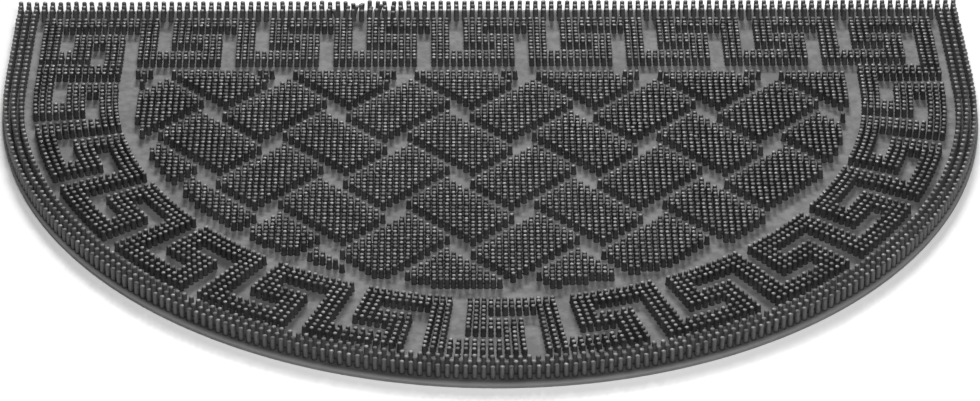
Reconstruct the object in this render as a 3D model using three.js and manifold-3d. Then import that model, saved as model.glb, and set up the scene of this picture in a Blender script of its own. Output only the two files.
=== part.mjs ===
// Half round pin doormat, moulded in one piece of rubber.
// A thin D-shaped sheet carries the pins. Where pins stand close together the solid is the
// raised outline that their tips fill; the outermost row is made pin by pin.
// Millimetres, +Z up, straight back edge towards +Y, origin under the middle of the mat.
import * as THREE from 'three';
import { mergeVertices } from 'three/addons/utils/BufferGeometryUtils.js';
import Module from 'manifold-3d';

const wasm = await Module();
wasm.setup();

// Whole mat
const WIDTH = 600;
const DEPTH = 400;
const HEIGHT = 10; // to the tips of the rim
const LOW_HEIGHT = 8; // to the tips of the key band and the woven field
const SHEET = 2;
const SINK = 0.4; // each raised piece reaches this far down into the sheet
const HALF = WIDTH / 2;
const BACK = DEPTH / 2;
const EDGE_ARC_Y = HALF - BACK; // the front edge is half a circle about this point
const ARC_SEGMENTS = 48;

// Rim: an outer row of single pins, then two rows as one raised band
const RIM_ARC_Y = 103.4;
const RIM_OUTER = { half: 298, back: 197.5 };
const RIM_BAND = { half: 294.4, back: 193.7, width: 7.3 };
const RIM_PITCH = 5.85;
const RIM_FOOT = 3.4; // across a pin, from side to side
const RIM_TIP = 2.4;

// Key band: walls three pins wide and two missing pins apart
const WALL_STEP = 5; // pins from one wall to the next
const WALL_HALF = 1.27; // one pin pitch and half a tip, in pins
const KEY_ARC_Y = 104.6;
const KEY_HALF = 279.8;
const KEY_BACK = 179.7;
const STRIP_PINS = 137;
const STRIP_PITCH_X = (2 * KEY_HALF) / STRIP_PINS;
const STRIP_PITCH_Y = 3.92;
const RAIL_PITCH = 4.06; // between the rows that follow the sides and the front
const RAIL_ROWS = 13;
const RAIL_UNITS = 13;
const UNIT_WALLS = 3;
const UNIT = [[0, 0], [0, 2], [2, 2], [2, 1], [1, 1], [1, 0]]; // one turn of the key
const RAIL_TOP = 119.1; // the first and last walls of the sides
const RAIL_SHIFT = 0.2; // in pins, clockwise
const ARC_STEP = 4; // most pins between two points along the front's arc

// Woven field: upright grid of pins, in blocks laid both ways on the diagonal
const TIP_HALF = 1.1; // half across the tip of a pin
const PITCH_X = 3.765;
const PITCH_Y = 3.93;
const CELL = 75.29; // from one block to the next that lies the same way
const FIRST_BLOCK = { x: -19.6, y: 115.6 };
const BLOCK_CORNER = [8, 2]; // in pins from a block's middle, along one axis and the other
const FIELD_ARC_Y = 105.6;
const FIELD = { half: 219, back: 120.6 };
const FIRST_TUFT = { x: 11.1, y: 120.1 }; // small tufts between the blocks at the back

// A D with its straight edge at the back and half a circle at the front
function dOutline(Outline, half, back, arcY) {
  const outline = new Outline();
  outline.moveTo(-half, back);
  outline.lineTo(-half, arcY);
  outline.absarc(0, arcY, half, Math.PI, 2 * Math.PI, false);
  outline.lineTo(half, back);
  outline.closePath();
  return outline;
}

function solid(geometry) {
  geometry.deleteAttribute('normal');
  geometry.deleteAttribute('uv');
  const merged = mergeVertices(geometry);
  return new wasm.Manifold(new wasm.Mesh({
    numProp: 3,
    vertProperties: Float32Array.from(merged.attributes.position.array),
    triVerts: Uint32Array.from(merged.index.array),
  }));
}

function extruded(shape, bottom, top) {
  const options = { depth: top - bottom, bevelEnabled: false, curveSegments: ARC_SEGMENTS };
  return solid(new THREE.ExtrudeGeometry(shape, options).translate(0, 0, bottom));
}

function raised(shape, top) {
  return extruded(shape, SHEET - SINK, top);
}

function joined(solids) {
  return solids.reduce((whole, piece) => whole.add(piece));
}

function rimBand() {
  const { half, back, width } = RIM_BAND;
  const shape = dOutline(THREE.Shape, half, back, RIM_ARC_Y);
  shape.holes.push(dOutline(THREE.Path, half - width, back - width, RIM_ARC_Y));
  return raised(shape, HEIGHT);
}

// Places of the outermost pins, with the direction that each one faces
function rimPlaces() {
  const { half, back } = RIM_OUTER;
  const places = [];
  const acrossCount = Math.round((2 * half) / RIM_PITCH);
  for (let i = 0; i <= acrossCount; i++) {
    places.push([-half + (2 * half * i) / acrossCount, back, 0]);
  }
  const sideCount = Math.round((back - RIM_ARC_Y) / RIM_PITCH);
  for (let i = 1; i < sideCount; i++) {
    const y = back - ((back - RIM_ARC_Y) * i) / sideCount;
    places.push([-half, y, 0], [half, y, 0]);
  }
  const arcCount = Math.round((Math.PI * half) / RIM_PITCH);
  for (let i = 0; i <= arcCount; i++) {
    const angle = (-Math.PI * i) / arcCount;
    places.push([half * Math.cos(angle), RIM_ARC_Y + half * Math.sin(angle), angle]);
  }
  return places;
}

function rimPin([x, y, angle]) {
  const height = HEIGHT - SHEET + SINK;
  const corner = Math.SQRT2 / 2; // from a square's side to its corner radius
  const geometry = new THREE.CylinderGeometry(RIM_TIP * corner, RIM_FOOT * corner, height, 4, 1);
  geometry.rotateX(Math.PI / 2);
  geometry.rotateZ(Math.PI / 4 + angle);
  geometry.translate(x, y, HEIGHT - height / 2);
  return solid(geometry);
}

// Pin i of row j in the straight strip at the back
function stripPoint(i, j) {
  return new THREE.Vector2(-KEY_HALF + i * STRIP_PITCH_X, KEY_BACK - j * STRIP_PITCH_Y);
}

// Pin k of row j clockwise down the right side, round the front and up the left side. The pins
// are evenly spaced along the middle row.
function railPoint(k, j) {
  const radius = KEY_HALF - j * RAIL_PITCH;
  const middle = KEY_HALF - ((RAIL_ROWS - 1) / 2) * RAIL_PITCH;
  const straight = RAIL_TOP - KEY_ARC_Y;
  const length = 2 * straight + Math.PI * middle;
  const along = ((k + RAIL_SHIFT) * length) / (RAIL_UNITS * UNIT_WALLS * WALL_STEP);
  if (along < straight) return new THREE.Vector2(radius, RAIL_TOP - along);
  if (along > length - straight) return new THREE.Vector2(-radius, RAIL_TOP - length + along);
  const angle = (along - straight) / middle;
  return new THREE.Vector2(radius * Math.cos(angle), KEY_ARC_Y - radius * Math.sin(angle));
}

// The line in the middle of the key's walls, counted in walls along the band and across it
function unitsFrom(first, count) {
  const steps = [];
  for (let unit = 0; unit < count; unit++) {
    steps.push(...UNIT.map(([along, row]) => [first + unit * UNIT_WALLS + along, row]));
  }
  return steps;
}

// One side of that line, half a wall away. The first and last steps only give directions.
function wallSide(steps, side, { pinOf, pointOf, maxStep }) {
  const pins = [];
  for (let n = 1; n < steps.length - 1; n++) {
    const [before, here, after] = [steps[n - 1], steps[n], steps[n + 1]].map(pinOf);
    const into = here.clone().sub(before).normalize();
    const out = after.clone().sub(here).normalize();
    const shift = new THREE.Vector2(into.y + out.y, -into.x - out.x);
    pins.push(here.addScaledVector(shift, side * WALL_HALF));
  }
  const points = [];
  pins.forEach((pin, n) => {
    const previous = pins[Math.max(n - 1, 0)];
    const parts = Math.max(1, Math.ceil(Math.abs(pin.x - previous.x) / maxStep));
    for (let part = 1; part <= parts; part++) {
      const place = previous.clone().lerp(pin, part / parts);
      points.push(pointOf(place.x, place.y));
    }
  });
  return points;
}

// The strip and the rails make one ring. A wall's middle pin is one pin further in than its first.
function keyBand() {
  const end = RAIL_UNITS * UNIT_WALLS;
  const strip = [[2, 3], [2, 1], [1, 1], [1, 2], [0, 2], [0, 0], ...unitsFrom(3, 8), [27, 0], [27, 3]];
  const rail = [[-1, 0], ...unitsFrom(0, RAIL_UNITS), [end, 0], [end, 2], [end + 1, 2]];
  const onStrip = {
    pinOf: ([a, b]) => new THREE.Vector2(a * WALL_STEP + 1, b * WALL_STEP + 1),
    pointOf: stripPoint,
    maxStep: Infinity,
  };
  const onRail = {
    pinOf: ([s, t]) => new THREE.Vector2(s * WALL_STEP, t * WALL_STEP + 1),
    pointOf: railPoint,
    maxStep: ARC_STEP,
  };
  const loop = (side) => [...wallSide(strip, side, onStrip), ...wallSide(rail, side, onRail)];
  const inside = extruded(new THREE.Shape(loop(-1)), 0, HEIGHT + 1);
  return raised(new THREE.Shape(loop(1)), LOW_HEIGHT).subtract(inside);
}

function prism(points) {
  return raised(new THREE.Shape(points.map(([x, y]) => new THREE.Vector2(x, y))), LOW_HEIGHT);
}

// A block rises to the right where lean is 1 and falls where it is -1. Its sides lie half a tip
// outside its last pins.
function block(x, y, lean) {
  const [far, near] = BLOCK_CORNER;
  const out = TIP_HALF * Math.SQRT2;
  const corners = [
    [far * PITCH_X + out, near * PITCH_Y],
    [near * PITCH_X, far * PITCH_Y + out],
    [-far * PITCH_X - out, -near * PITCH_Y],
    [-near * PITCH_X, -far * PITCH_Y - out],
  ];
  return prism(corners.map(([across, up]) => [x + across, y + lean * up]));
}

// Three pins in a row, and one in front of the middle one
function tuft(x, y) {
  const side = PITCH_X + TIP_HALF;
  const front = -PITCH_Y - TIP_HALF;
  const corners = [
    [side, TIP_HALF], [-side, TIP_HALF], [-side, -TIP_HALF],
    [-TIP_HALF, front], [TIP_HALF, front], [side, -TIP_HALF],
  ];
  return prism(corners.map(([across, up]) => [x + across, y + up]));
}

function wovenField() {
  const blocks = [];
  for (let column = -3; column <= 3; column++) {
    for (let row = 0; row <= 3; row++) {
      const x = FIRST_BLOCK.x + column * CELL;
      const y = FIRST_BLOCK.y - row * CELL;
      blocks.push(block(x, y, -1), block(x + CELL / 2, y - CELL / 2, 1));
    }
  }
  const region = raised(dOutline(THREE.Shape, FIELD.half, FIELD.back, FIELD_ARC_Y), HEIGHT);
  return joined(blocks).intersect(region);
}

function tufts() {
  return [-3, -2, -1, 0, 1, 2].map((step) => tuft(FIRST_TUFT.x + step * CELL, FIRST_TUFT.y));
}

function rubberMat() {
  const sheet = extruded(dOutline(THREE.Shape, HALF, BACK, EDGE_ARC_Y), 0, SHEET);
  const pins = rimPlaces().map(rimPin);
  const whole = joined([sheet, rimBand(), keyBand(), wovenField(), ...tufts(), ...pins]);
  const { vertProperties, triVerts } = whole.getMesh();
  const geometry = new THREE.BufferGeometry();
  geometry.setAttribute('position', new THREE.BufferAttribute(vertProperties, 3));
  geometry.setIndex(new THREE.BufferAttribute(triVerts, 1));
  geometry.computeVertexNormals();
  const material = new THREE.MeshStandardMaterial({ color: 0x4c4c4e, roughness: 0.8, metalness: 0 });
  const mesh = new THREE.Mesh(geometry, material);
  mesh.name = 'rubber_mat';
  return mesh;
}

const mat = new THREE.Group();
mat.add(rubberMat());

export default mat;
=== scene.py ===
import math

import bpy
import numpy as np
from mathutils import Matrix, Vector


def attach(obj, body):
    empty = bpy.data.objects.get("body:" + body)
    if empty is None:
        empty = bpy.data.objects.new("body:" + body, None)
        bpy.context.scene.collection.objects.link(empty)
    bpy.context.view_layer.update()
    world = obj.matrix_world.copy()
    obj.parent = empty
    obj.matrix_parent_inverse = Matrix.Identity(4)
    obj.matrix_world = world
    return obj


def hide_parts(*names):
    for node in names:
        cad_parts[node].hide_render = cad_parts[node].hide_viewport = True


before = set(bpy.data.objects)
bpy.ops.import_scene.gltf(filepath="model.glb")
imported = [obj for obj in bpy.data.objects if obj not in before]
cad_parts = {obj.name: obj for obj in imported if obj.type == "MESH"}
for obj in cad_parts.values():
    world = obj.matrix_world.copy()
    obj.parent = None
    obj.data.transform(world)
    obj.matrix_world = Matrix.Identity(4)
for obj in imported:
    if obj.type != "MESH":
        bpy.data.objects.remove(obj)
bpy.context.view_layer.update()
mm = 0.001  # sizes below are in millimetres, meshes in metres
chance = np.random.default_rng(29)  # a fixed seed: each run gives every pin the same lean, height and tone
scene = bpy.context.scene
print("frame loaded")


# Camera: from the front and above, through a long lens
shot = {
    "aim": (-1.665, -16.39, 0.0),
    "distance": 2204.0,
    "down": 33.85,  # down, turn and tilt are in degrees
    "turn": 0.998,
    "tilt": -0.351,
    "focal": 3716.6,  # in pixels of a 980 wide picture
    "pictureWidth": 980,
    "sensor": 36.0,
}


def makeCamera():
    # forward is turned from +Y by turn and lowered by down; right and up are rolled about it by tilt
    down, turn, tilt = (math.radians(shot[name]) for name in ("down", "turn", "tilt"))
    flat = math.cos(down)
    forward = np.array([math.sin(turn) * flat, math.cos(turn) * flat, -math.sin(down)])
    level = np.array([math.cos(turn), -math.sin(turn), 0.0])
    below = np.cross(forward, level)
    axes = np.eye(4)
    axes[:3, 0] = math.cos(tilt) * level + math.sin(tilt) * below
    axes[:3, 1] = math.sin(tilt) * level - math.cos(tilt) * below
    axes[:3, 2] = -forward
    axes[:3, 3] = (np.array(shot["aim"]) - forward * shot["distance"]) * mm
    data = bpy.data.cameras.new("camera")
    data.sensor_width = shot["sensor"]
    data.lens = shot["sensor"] * shot["focal"] / shot["pictureWidth"]
    camera = bpy.data.objects.new("camera", data)
    camera.matrix_world = Matrix(axes.tolist())
    scene.collection.objects.link(camera)
    scene.camera = camera


makeCamera()
print("camera placed")


# Light: one wide lamp low behind the straight edge, one soft lamp above the round front, a faint sky
light = {
    "sky": 0.035,
    # metres from the mat, degrees up from the floor and clockwise from the back, width and height, watts
    "lamps": {
        "backLamp": {"away": 4.0, "rise": 29.0, "bearing": 1.0, "size": (1.2, 0.45), "power": 148.0},
        "frontLamp": {"away": 1.45, "rise": 58.0, "bearing": 170.0, "size": (0.8, 0.8), "power": 15.5},
    },
}


def makeLamp(name, away, rise, bearing, size, power):
    # place = away * (cos rise sin bearing, cos rise cos bearing, sin rise), facing the origin
    rise, bearing = math.radians(rise), math.radians(bearing)
    flat = math.cos(rise)
    towards = Vector((flat * math.sin(bearing), flat * math.cos(bearing), math.sin(rise)))
    data = bpy.data.lights.new(name, "AREA")
    data.shape = "RECTANGLE"
    data.size, data.size_y = size
    data.energy = power
    lamp = bpy.data.objects.new(name, data)
    lamp.location = towards * away
    lamp.rotation_euler = (-towards).to_track_quat("-Z", "Y").to_euler()
    scene.collection.objects.link(lamp)


def makeLight():
    world = bpy.data.worlds.new("studio")
    world.use_nodes = True
    background = world.node_tree.nodes["Background"]
    background.inputs["Color"].default_value = (1.0, 1.0, 1.0, 1.0)
    background.inputs["Strength"].default_value = light["sky"]
    scene.world = world
    for name, values in light["lamps"].items():
        makeLamp(name, **values)
    scene.view_settings.view_transform = "Standard"


makeLight()
print("lights placed")


# Meshes from whole arrays of points and faces
def meshPiece(name, points, faceSets):
    # points is (n, 3) in millimetres; each face set is (m, corners) of point numbers
    mesh = bpy.data.meshes.new(name)
    corners = np.concatenate([faces.ravel() for faces in faceSets]).astype(np.int32)
    sizes = np.concatenate([np.full(len(faces), faces.shape[1]) for faces in faceSets])
    starts = np.concatenate([[0], np.cumsum(sizes)[:-1]]).astype(np.int32)
    mesh.vertices.add(len(points))
    mesh.vertices.foreach_set("co", (points * mm).astype(np.float32).ravel())
    mesh.loops.add(len(corners))
    mesh.loops.foreach_set("vertex_index", corners)
    mesh.polygons.add(len(sizes))
    mesh.polygons.foreach_set("loop_start", starts)
    mesh.polygons.foreach_set("use_smooth", np.ones(len(sizes), bool))
    mesh.update(calc_edges=True)
    mesh.validate()
    piece = bpy.data.objects.new(name, mesh)
    scene.collection.objects.link(piece)
    return piece


def addLayer(piece, name, values):
    # one number for each point, for the materials to read
    layer = piece.data.attributes.new(name, "FLOAT", "POINT")
    layer.data.foreach_set("value", values.astype(np.float32))


def bandFaces(rings, around):
    # quads between ring r and ring r + 1 of a closed band, facing out when the rings rise
    ring, step = np.meshgrid(np.arange(rings - 1), np.arange(around), indexing="ij")
    after = (step + 1) % around
    low, high = ring * around, (ring + 1) * around
    return np.stack([low + step, low + after, high + after, high + step], -1).reshape(-1, 4)


# Sheet: the thin base that all pins stand on
sheet = {
    "half": 300.0,
    "back": 200.0,
    "arcY": 100.0,
    "corner": 2.5,
    "sharpest": 0.3,  # least radius of a corner, on the inner rings
    "thickness": 2.0,
    "middle": (0.0, 60.0),
    # inset from the outline and height of each ring, from the underside round the edge to the top
    "edge": ((0.3, 0.0), (0.06, 0.08), (0.0, 0.25), (0.0, 1.6), (0.1, 1.88), (0.35, 1.99), (1.6, 2.0),
             (4.2, 2.0), (11.0, 2.0), (14.0, 2.0)),
    # shares of painted light on the lip and edge wall and of painted shade at the pins' feet, at those rings
    "edgeLit": (0.3, 0.6, 0.7, 0.6, 0.7, 1.0, 0.6, 0.0, 0.0, 0.0),
    "feetShade": (0.0, 0.0, 0.0, 0.0, 0.0, 0.0, 0.0, 0.75, 0.6, 0.0),
    "swell": 2.5,  # the lip is this much wider at the front
    "skew": 0.9,  # and this much more at the front right, less at the front left
    "rings": 30,
    "backPoints": 150,
    "sidePoints": 26,
    "cornerPoints": 5,
    "arcPoints": 260,
}


def arc(centreX, centreY, radius, start, end, count):
    # centre + radius * (cos, sin), short of its last point, which begins the next stretch
    angle = np.radians(np.linspace(start, end, count, endpoint=False))
    return np.column_stack([centreX + radius * np.cos(angle), centreY + radius * np.sin(angle)])


def line(start, end, count):
    # start * (1 - share) + end * share, short of its last point as well
    share = np.linspace(0, 1, count, endpoint=False)[:, None]
    return np.array(start) * (1 - share) + np.array(end) * share


def roundFront(half):
    # radius = half + swell * sin^2 - skew * sin of twice the angle, from the left end to the right
    angle = np.radians(np.linspace(180, 360, sheet["arcPoints"], endpoint=False))
    radius = half + sheet["swell"] * np.sin(angle) ** 2 - sheet["skew"] * np.sin(2 * angle)
    return np.column_stack([radius * np.cos(angle), sheet["arcY"] + radius * np.sin(angle)])


def sheetOutline(inset):
    # D shape against the clock: round front, right side, corner, straight back, corner, left side
    half, back = sheet["half"] - inset, sheet["back"] - inset
    corner = max(sheet["corner"] - inset, sheet["sharpest"])
    inner, top = half - corner, back - corner
    return np.concatenate([
        roundFront(half),
        line((half, sheet["arcY"]), (half, top), sheet["sidePoints"]),
        arc(inner, top, corner, 0, 90, sheet["cornerPoints"]),
        line((inner, back), (-inner, back), sheet["backPoints"]),
        arc(-inner, top, corner, 90, 180, sheet["cornerPoints"]),
        line((-half, top), (-half, sheet["arcY"]), sheet["sidePoints"]),
    ])


def makeSheet():
    # the edge's rings follow the outline; inside them each ring is middle + share * (ring - middle)
    middle = np.array(sheet["middle"])
    edge = [(sheetOutline(inset), height) for inset, height in sheet["edge"]]
    shares = np.linspace(0, 1, sheet["rings"] + 1)[1:-1]
    under = [(middle + share * (edge[0][0] - middle), 0.0) for share in shares]
    over = [(middle + share * (edge[-1][0] - middle), sheet["thickness"]) for share in shares[::-1]]
    rings = under + edge + over
    around = len(edge[0][0])
    points = np.concatenate([np.column_stack([ring, np.full(around, height)]) for ring, height in rings])
    underMiddle, overMiddle = len(points), len(points) + 1
    points = np.concatenate([points, [[*middle, 0.0]], [[*middle, sheet["thickness"]]]])
    step = np.arange(around)
    after = (step + 1) % around
    inmost = (len(rings) - 1) * around
    lower = np.column_stack([after, step, np.full(around, underMiddle)])
    upper = np.column_stack([inmost + step, inmost + after, np.full(around, overMiddle)])
    piece = meshPiece("baseSheet", points, [bandFaces(len(rings), around), lower, upper])
    # layers of painted light on the edge and painted shade at the rim's feet, one share for each point
    for layer, edgeShares in (("edgeLitShare", sheet["edgeLit"]), ("edgeShade", sheet["feetShade"])):
        ringShares = np.concatenate([np.zeros(len(under)), edgeShares, np.zeros(len(over))])
        addLayer(piece, layer, np.append(np.repeat(ringShares, around), [0.0, 0.0]))
    return piece


baseSheet = makeSheet()
print("sheet made")


# Bulge: the rim and the key stand a little further out at the front right
bulge = {
    "from": 5.0,  # degrees clockwise from the right side
    "to": 105.0,
    "out": 2.0,
}


def bulged(places, arcY):
    # radius grows by out * sin(180 degrees * share of the way between the two angles)
    x, y = places[:, 0], places[:, 1] - arcY
    angle = np.degrees(np.arctan2(-y, x))
    share = np.clip((angle - bulge["from"]) / (bulge["to"] - bulge["from"]), 0, 1)
    grown = 1 + bulge["out"] * np.sin(np.pi * share) / np.hypot(x, y)
    return np.column_stack([x * grown, arcY + y * grown])


# Rim: three rows of pins all round
rim = {
    "arcY": 103.4,
    "halves": (298.0, 293.2, 288.4),
    "backs": (197.5, 192.5, 187.5),
    "backPins": 119,
    "sidePins": 18,
    "arcPitch": 5.06,
}


def rimPlaces():
    # back rows run from corner to corner, side rows down to the arcs, then arcs with an even pitch
    across = np.linspace(-rim["halves"][0], rim["halves"][0], rim["backPins"])
    down = np.linspace(rim["backs"][-1], rim["arcY"], rim["sidePins"])[1:-1]
    rows = [np.column_stack([across, np.full_like(across, back)]) for back in rim["backs"]]
    for half in rim["halves"]:
        rows += [np.column_stack([np.full_like(down, side * half), down]) for side in (-1, 1)]
        angle = np.linspace(0, -math.pi, round(math.pi * half / rim["arcPitch"]) + 1)
        rows.append(np.column_stack([half * np.cos(angle), rim["arcY"] + half * np.sin(angle)]))
    return bulged(np.concatenate(rows), rim["arcY"])


# Key: a strip along the straight back, and a rail down the sides and round the front
key = {
    "arcY": 104.6,
    "half": 279.8,  # where the outermost pins stand, as back
    "back": 179.7,
    "wallPins": 3,  # a wall is three pins thick, and the next begins two missing pins further on
    "wallStep": 5,
    "turnWalls": 3,  # walls from one turn to the next
    # corners of the key's line, as walls along the band and walls across it
    "turn": ((0, 0), (0, 2), (2, 2), (2, 1), (1, 1), (1, 0)),
    "leftEnd": ((2, 3), (2, 1), (1, 1), (1, 2), (0, 2), (0, 0)),
    "leftWalls": 3,  # walls that the left end takes up
    "stripTurns": 8,
    "stripDeep": 3,  # how far across the last wall runs, in walls
    "stripRow": 3.92,
    "stripRows": 15,
    "railTurns": 13,
    "railDeep": 2,  # the same for the rail
    "railTop": 119.1,  # where the rail begins and ends on the sides
    "railRow": 4.06,
    "railShift": 0.2,  # in pins, clockwise
    "leastApart": 3.0,  # a rail pin nearer than this to a pin of the strip is left out
}


def keyTurns(first, count):
    # the corners of one turn, repeated from wall number first on; returns the wall after them too
    turns = [(first + turn * key["turnWalls"] + along, across)
             for turn in range(count) for along, across in key["turn"]]
    return turns, first + count * key["turnWalls"]


def wallPins(corners):
    # a run of wall between two corners fills the rows of pins about it; returns pins along and across
    step, wide = key["wallStep"], key["wallPins"]
    standing = np.zeros(step * np.max(corners, axis=0) + wide, bool)
    for start, end in zip(corners, corners[1:]):
        (a0, a1), (b0, b1) = sorted((start[0], end[0])), sorted((start[1], end[1]))
        standing[step * a0:step * a1 + wide, step * b0:step * b1 + wide] = True
    return np.argwhere(standing).T.astype(float)


def keyStripPlaces():
    # x = pins along * pitch - half, y = back - pins across * row, with the pitch spread over the width
    turns, last = keyTurns(key["leftWalls"], key["stripTurns"])
    along, row = wallPins([*key["leftEnd"], *turns, (last, 0), (last, key["stripDeep"])])
    pitch = 2 * key["half"] / along.max()
    places = np.column_stack([along * pitch - key["half"], key["back"] - row * key["stripRow"]])
    return places[row < key["stripRows"]]


def keyRailPlaces():
    # clockwise down the right side, round the front and up the left side; angle = distance past the
    # straight side / radius of the middle row, and what falls short of the arc or past it goes straight up
    turns, last = keyTurns(0, key["railTurns"])
    along, row = wallPins([*turns, (last, 0), (last, key["railDeep"])])
    middle = key["half"] - row.max() / 2 * key["railRow"]
    straight = key["railTop"] - key["arcY"]
    length = 2 * straight + math.pi * middle
    halfWall = (key["wallPins"] - 1) / 2  # the run is measured between the middles of its end walls
    distance = (along - halfWall + key["railShift"]) * length / (along.max() - 2 * halfWall)
    angle = np.clip((distance - straight) / middle, 0, math.pi)
    beyond = np.maximum(straight - distance, 0) + np.maximum(distance - length + straight, 0)
    radius = key["half"] - row * key["railRow"]
    places = np.column_stack([radius * np.cos(angle), key["arcY"] - radius * np.sin(angle) + beyond])
    places = bulged(places, key["arcY"])
    apart = np.linalg.norm(places[:, None] - keyStripPlaces()[None], axis=-1).min(1)
    return places[apart > key["leastApart"]]


# Weave: blocks of pins laid both ways on the diagonal, cut by the field's own D shape
weave = {
    "arcY": 105.6,
    "pitch": (3.765, 3.93),
    "cell": 75.29,  # from one block to the next of its lean
    "first": (-19.6, 115.6),
    "columns": (-4, 5),
    "rows": (-1, 4),
    "longSteps": 10,
    "shortSteps": 6,
    "half": 219.5,
    "back": 120.5,
    "radius": 219.0,
    "tufts": (-3, 3),  # four pins each, between the blocks at the back
    "tuftX": 11.1,
    "tuftY": 120.1,
    # the field lies a little turned and drawn in inside its border
    "draw": ((1.0038, -0.0085), (0.0053, 0.9786)),
    "shift": (0.32, -0.65),
}


def drawnIn(places):
    # place = place times the draw matrix + shift
    return places @ np.array(weave["draw"]) + np.array(weave["shift"])


def weavePlaces(lean):
    # an upright grid of pins, kept where it lies inside a block turned by 45 degrees;
    # lean is -1 for blocks that fall to the right, 1 for those that rise
    steps = np.arange(-weave["longSteps"], weave["longSteps"] + 1)
    n, m = (grid.ravel() for grid in np.meshgrid(steps, steps, indexing="ij"))
    inside = (abs(n + lean * m) <= weave["longSteps"]) & (abs(n - lean * m) <= weave["shortSteps"])
    pins = np.column_stack([n, m])[inside] * np.array(weave["pitch"])
    offset = weave["cell"] / 2 if lean > 0 else 0.0
    column, row = np.meshgrid(np.arange(*weave["columns"]), np.arange(*weave["rows"]))
    x = weave["first"][0] + offset + weave["cell"] * column.ravel()
    y = weave["first"][1] - offset - weave["cell"] * row.ravel()
    places = (np.column_stack([x, y])[:, None] + pins[None]).reshape(-1, 2)
    kept = (abs(places[:, 0]) < weave["half"]) & (places[:, 1] < weave["back"])
    reach = np.hypot(places[:, 0], np.minimum(places[:, 1] - weave["arcY"], 0))
    return drawnIn(places[kept & (reach < weave["radius"])])


def tuftPlaces():
    # three pins in a row and one in front of the middle
    acrossPitch, downPitch = weave["pitch"]
    tuft = np.array([(-acrossPitch, 0.0), (0.0, 0.0), (acrossPitch, 0.0), (0.0, -downPitch)])
    x = weave["tuftX"] + weave["cell"] * np.arange(*weave["tufts"])
    middles = np.column_stack([x, np.full_like(x, weave["tuftY"])])
    return drawnIn((middles[:, None] + tuft[None]).reshape(-1, 2))


# Pins: tapered, on a small fillet, with a rounded tip
pinShape = {
    "sides": 8,
    "rise": (-0.03, 0.12, 0.92, 0.98, 1.0),  # share of the pin's height
    "foot": (1.2, 0.98, 0.0, 0.0, 0.0),  # share of the foot's radius
    "tip": (0.0, 0.0, 1.04, 1.0, 0.84),  # share of the tip's radius
    "bow": 1.6,  # a pin that leans does so more and more towards its tip
    "uneven": 0.05,  # the lowest pins lack this share of the height
    # the paler tip is partly wear and partly painted light of the lit top
    "wornAndLitFrom": 0.93,  # share of the height where the paler tip begins
}
# height, widths at foot and tip, how far tips stray, most of the paler tone on a tip (wear and painted light
# of the lit top) and its share below
pinSets = {
    "rimPins": {"height": 8.0, "foot": 3.1, "tip": 2.8, "wander": 0.12, "tipWearAndLight": 0.35, "dust": 0.2},
    "keyStripPins": {"height": 6.0, "foot": 3.2, "tip": 2.55, "wander": 0.14, "tipWearAndLight": 0.2, "dust": 0.04},
    "keyRailPins": {"height": 6.0, "foot": 3.2, "tip": 2.55, "wander": 0.14, "tipWearAndLight": 0.3, "dust": 0.0},
    "weaveFallingPins": {"height": 6.0, "foot": 3.4, "tip": 2.6, "wander": 0.14, "tipWearAndLight": 0.1, "dust": 0.0},
    "weaveRisingPins": {"height": 6.0, "foot": 3.4, "tip": 2.6, "wander": 0.14, "tipWearAndLight": 0.1, "dust": 0.0},
}
bending = {
    "share": 0.02,  # of all pins, bent by use
    "reach": 0.8,
    "furthest": 0.75,  # so that no tip leans into its neighbour outside the crowded stretch
    "crowdedFrom": -130.0,  # pins of the back rows pressed together here
    "crowdedTo": -28.0,
    "crowdedBack": 185.0,
    "crowdedReach": 1.0,
}


def tipShifts(places, wander):
    # shift = a little for every pin + more for the few bent ones, furthest at most, + more again in the
    # crowded stretch, where pins lean on each other, by a sine that swells to its middle
    count = len(places)
    shift = chance.normal(0, wander, (count, 2))
    bent = chance.random(count) < bending["share"]
    shift[bent] += chance.normal(0, bending["reach"], (bent.sum(), 2))
    strayed = np.hypot(shift[:, 0], shift[:, 1])
    shift *= (bending["furthest"] / np.maximum(strayed, bending["furthest"]))[:, None]
    along = (places[:, 0] - bending["crowdedFrom"]) / (bending["crowdedTo"] - bending["crowdedFrom"])
    crowded = (along > 0) & (along < 1) & (places[:, 1] > bending["crowdedBack"])
    swell = np.sin(np.pi * np.clip(along, 0, 1))[crowded, None]
    shift[crowded] += chance.normal(0, bending["crowdedReach"], (crowded.sum(), 2)) * swell
    return shift


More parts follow.
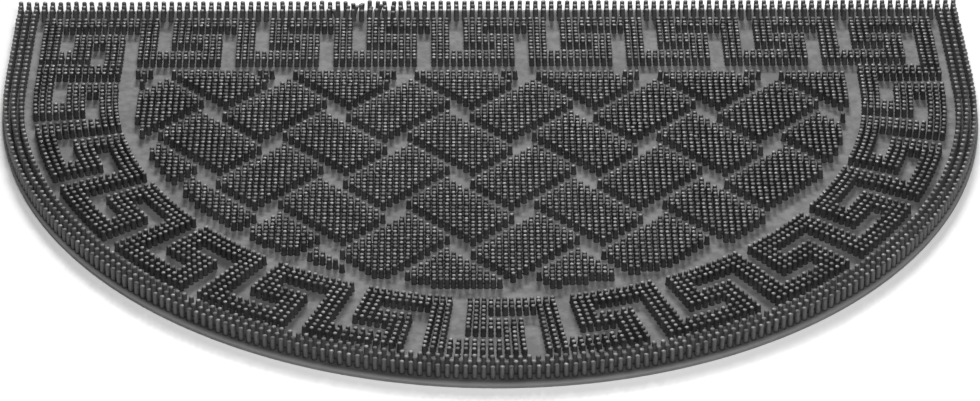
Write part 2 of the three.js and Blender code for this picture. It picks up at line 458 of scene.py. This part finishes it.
def makePins(name, places):
    # ring = foot + shift * rise ** bow + radius * (cos, sin), for every pin, ring and side at once
    sizes = pinSets[name]
    count, sides = len(places), pinShape["sides"]
    rise = np.array(pinShape["rise"])
    rings = len(rise)
    radius = (np.array(pinShape["foot"]) * sizes["foot"] + np.array(pinShape["tip"]) * sizes["tip"]) / 2
    turn = chance.uniform(0, 2 * math.pi / sides, count)
    angle = turn[:, None] + 2 * math.pi * np.arange(sides) / sides
    circle = np.stack([np.cos(angle), np.sin(angle)], -1)
    shift = tipShifts(places, sizes["wander"])
    tall = sizes["height"] * (1 - pinShape["uneven"] * chance.random(count))
    lean = np.clip(rise, 0, 1) ** pinShape["bow"]
    centre = places[:, None, :] + shift[:, None, :] * lean[None, :, None]
    flat = centre[:, :, None, :] + radius[None, :, None, None] * circle[:, None, :, :]
    height = sheet["thickness"] + tall[:, None] * rise[None, :]
    height = np.broadcast_to(height[:, :, None, None], (*flat.shape[:3], 1))
    points = np.concatenate([flat, height], -1).reshape(-1, 3)
    first = (np.arange(count) * rings * sides)[:, None, None]
    walls = (first + bandFaces(rings, sides)[None]).reshape(-1, 4)
    ends = np.stack([np.arange(sides)[::-1], (rings - 1) * sides + np.arange(sides)])
    piece = meshPiece(name, points, [walls, (first + ends[None]).reshape(-1, sides)])
    tone = np.repeat(chance.random(count), rings * sides)
    # paler tips: partly wear, partly painted light of their lit tops; the dust share lies below the tip
    wornAndLitFrom = pinShape["wornAndLitFrom"]
    tip = np.tile(np.repeat(np.clip((rise - wornAndLitFrom) / (1 - wornAndLitFrom), 0, 1), sides), count)
    addLayer(piece, "pinTone", tone)
    addLayer(piece, "pinTip", tip)
    addLayer(piece, "pinWearAndLight", sizes["tipWearAndLight"] * tip * tone + sizes["dust"] * (1 - tip))
    print(name, "made:", count, "pins")
    return piece


pinPieces = [
    makePins("rimPins", rimPlaces()),
    makePins("keyStripPins", keyStripPlaces()),
    makePins("keyRailPins", keyRailPlaces()),
    makePins("weaveFallingPins", np.concatenate([weavePlaces(-1), tuftPlaces()])),
    makePins("weaveRisingPins", weavePlaces(1)),
]


# Rubber: dusty and dull on the sheet, with painted light on its edge and painted shade at the rim's feet;
# darker and satin on the pins, with tips that are duller and paler, partly worn and partly painted light
rubber = {
    "sheetDark": (0.085, 0.085, 0.086, 1.0),
    "sheetLight": (0.145, 0.145, 0.146, 1.0),
    "sheetMottle": 30.0,  # scale of the patches, as pinMottle
    "sheetRoughness": 0.65,
    "sheetShine": 0.25,
    "sheetGrain": 0.35,  # strength of the grain, as pinGrain
    "dust": (0.26, 0.26, 0.26, 1.0),
    "dustShare": (0.1, 0.3),  # in the darkest patches and in the lightest
    # painted light: a paler tone for the lip and edge wall, standing in for light from the floor
    "edgeLit": (0.25, 0.25, 0.252, 1.0),
    # painted shade: a dark tone at the feet of the rim's pins, where their shadow falls on the lip
    "feetShade": (0.03, 0.03, 0.03, 1.0),
    "pinDark": (0.03, 0.03, 0.0305, 1.0),
    "pinLight": (0.06, 0.06, 0.061, 1.0),
    "pinMottle": 60.0,
    "pinRoughness": 0.42,
    "pinShine": 0.7,
    "pinGrain": 0.2,
    # pale tone for worn tips, partly painted light of their lit tops, and for the dust below
    "wornAndLitTone": (0.30, 0.30, 0.30, 1.0),
    "tipRoughness": (0.75, 0.5),  # from the dullest tip to the shiniest
    "finerMottle": 7.0,  # times the scale of the wide patches
    "mottleSpan": (0.17, 0.36),  # product of the two noises where the rubber is darkest and lightest
    "grainScale": 1500.0,
    "grainHeight": 0.0002,  # metres
}


def addNode(tree, kind, **values):
    node = tree.nodes.new(kind)
    for name, value in values.items():
        setattr(node, name, value)
    return node


def mapped(tree, value, span=(0.0, 1.0), onto=(0.0, 1.0)):
    # the span least to most onto low to high: low + (value - least) / (most - least) * (high - low)
    node = addNode(tree, "ShaderNodeMapRange")
    for name, end in zip(("From Min", "From Max", "To Min", "To Max"), (*span, *onto)):
        node.inputs[name].default_value = end
    tree.links.new(value, node.inputs["Value"])
    return node.outputs["Result"]


def laidOver(tree, base, share, colour):
    # base * (1 - share) + colour * share
    mix = addNode(tree, "ShaderNodeMix", data_type="RGBA")
    mix.inputs["B"].default_value = colour
    tree.links.new(base, mix.inputs["A"])
    tree.links.new(share, mix.inputs["Factor"])
    return mix.outputs["Result"]


def layerOf(tree, name):
    return addNode(tree, "ShaderNodeAttribute", attribute_name=name).outputs["Fac"]


def groupWith(name, inputs, outputs):
    tree = bpy.data.node_groups.new(name, "ShaderNodeTree")
    for way, sockets in (("INPUT", inputs), ("OUTPUT", outputs)):
        for socket, kind in sockets.items():
            tree.interface.new_socket(socket, in_out=way, socket_type="NodeSocket" + kind)
    return tree, tree.nodes.new("NodeGroupInput"), tree.nodes.new("NodeGroupOutput")


def placeGroup(tree, group, **values):
    # a node group with one material's own values
    node = addNode(tree, "ShaderNodeGroup", node_tree=group)
    for name, value in values.items():
        node.inputs[name].default_value = value
    return node


def makeMottle():
    # wide noise times fine noise moves the colour between dark and light
    tree, given, result = groupWith("rubberMottle", {"Dark": "Color", "Light": "Color", "Scale": "Float"},
                                    {"Color": "Color", "Mask": "Float"})
    link = tree.links.new
    place = addNode(tree, "ShaderNodeTexCoord")
    wide = addNode(tree, "ShaderNodeTexNoise")
    fine = addNode(tree, "ShaderNodeTexNoise")
    finer = addNode(tree, "ShaderNodeMath", operation="MULTIPLY")
    finer.inputs[1].default_value = rubber["finerMottle"]
    both = addNode(tree, "ShaderNodeMath", operation="MULTIPLY")
    mix = addNode(tree, "ShaderNodeMix", data_type="RGBA")
    link(place.outputs["Object"], wide.inputs["Vector"])
    link(place.outputs["Object"], fine.inputs["Vector"])
    link(given.outputs["Scale"], wide.inputs["Scale"])
    link(given.outputs["Scale"], finer.inputs[0])
    link(finer.outputs[0], fine.inputs["Scale"])
    link(wide.outputs["Fac"], both.inputs[0])
    link(fine.outputs["Fac"], both.inputs[1])
    mask = mapped(tree, both.outputs[0], span=rubber["mottleSpan"])
    link(mask, mix.inputs["Factor"])
    link(given.outputs["Dark"], mix.inputs["A"])
    link(given.outputs["Light"], mix.inputs["B"])
    link(mix.outputs["Result"], result.inputs["Color"])
    link(mask, result.inputs["Mask"])
    return tree


def makeGrain():
    # fine mould grain as a bump
    tree, given, result = groupWith("mouldGrain", {"Scale": "Float", "Depth": "Float"}, {"Normal": "Vector"})
    link = tree.links.new
    place = addNode(tree, "ShaderNodeTexCoord")
    noise = addNode(tree, "ShaderNodeTexNoise")
    bump = addNode(tree, "ShaderNodeBump")
    bump.inputs["Distance"].default_value = rubber["grainHeight"]
    link(place.outputs["Object"], noise.inputs["Vector"])
    link(given.outputs["Scale"], noise.inputs["Scale"])
    link(noise.outputs["Fac"], bump.inputs["Height"])
    link(given.outputs["Depth"], bump.inputs["Strength"])
    link(bump.outputs["Normal"], result.inputs["Normal"])
    return tree


mottle, grain = makeMottle(), makeGrain()


def rubberBase(name, dark, light, patches, shine, depth):
    # what both finishes share: mottled tones, shine and the mould's grain
    material = bpy.data.materials.new(name)
    material.use_nodes = True
    tree = material.node_tree
    shader = tree.nodes["Principled BSDF"]
    tones = placeGroup(tree, mottle, Dark=dark, Light=light, Scale=patches)
    surface = placeGroup(tree, grain, Scale=rubber["grainScale"], Depth=depth)
    shader.inputs["Specular IOR Level"].default_value = shine
    tree.links.new(surface.outputs["Normal"], shader.inputs["Normal"])
    return material, tree, shader, tones


def sheetRubber():
    # more dust in the lighter patches, painted light on the lip and edge wall, and painted shade at the feet
    # of the rim's pins
    material, tree, shader, tones = rubberBase(
        "sheetRubber", rubber["sheetDark"], rubber["sheetLight"],
        rubber["sheetMottle"], rubber["sheetShine"], rubber["sheetGrain"])
    dusting = mapped(tree, tones.outputs["Mask"], onto=rubber["dustShare"])
    dusty = laidOver(tree, tones.outputs["Color"], dusting, rubber["dust"])
    # painted light on the lip and edge wall
    edgeLitTone = laidOver(tree, dusty, layerOf(tree, "edgeLitShare"), rubber["edgeLit"])
    # painted shade at the feet of the rim's pins
    footShaded = laidOver(tree, edgeLitTone, layerOf(tree, "edgeShade"), rubber["feetShade"])
    shader.inputs["Roughness"].default_value = rubber["sheetRoughness"]
    tree.links.new(footShaded, shader.inputs["Base Color"])
    return material


def pinRubber():
    # the paler tone by each point's share of wear and painted light; roughness = the pin's own on the tip,
    # the same for all below it
    material, tree, shader, tones = rubberBase(
        "pinRubber", rubber["pinDark"], rubber["pinLight"],
        rubber["pinMottle"], rubber["pinShine"], rubber["pinGrain"])
    wornAndLitTone = laidOver(tree, tones.outputs["Color"], layerOf(tree, "pinWearAndLight"), rubber["wornAndLitTone"])
    dull = mapped(tree, layerOf(tree, "pinTone"), onto=rubber["tipRoughness"])
    rough = addNode(tree, "ShaderNodeMix", data_type="FLOAT")
    rough.inputs["A"].default_value = rubber["pinRoughness"]
    tree.links.new(dull, rough.inputs["B"])
    tree.links.new(layerOf(tree, "pinTip"), rough.inputs["Factor"])
    tree.links.new(wornAndLitTone, shader.inputs["Base Color"])
    tree.links.new(rough.outputs["Result"], shader.inputs["Roughness"])
    return material


baseSheet.data.materials.append(sheetRubber())
pinMaterial = pinRubber()
for piece in pinPieces:
    piece.data.materials.append(pinMaterial)
for piece in [baseSheet, *pinPieces]:
    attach(piece, "root")
    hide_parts("rubber_mat")
print("materials made")


# Floor: one square just under the mat
ground = {
    "half": 6000.0,
    "top": -0.1,
    "tone": (0.92, 0.92, 0.92, 1.0),
    "roughness": 0.6,
}


def makeFloor():
    corners = np.array([(-1, -1), (1, -1), (1, 1), (-1, 1)]) * ground["half"]
    points = np.column_stack([corners, np.full(4, ground["top"])])
    floor = meshPiece("floor", points, [np.array([[0, 1, 2, 3]])])
    material = bpy.data.materials.new("floorWhite")
    material.use_nodes = True
    shader = material.node_tree.nodes["Principled BSDF"]
    shader.inputs["Base Color"].default_value = ground["tone"]
    shader.inputs["Roughness"].default_value = ground["roughness"]
    floor.data.materials.append(material)


makeFloor()
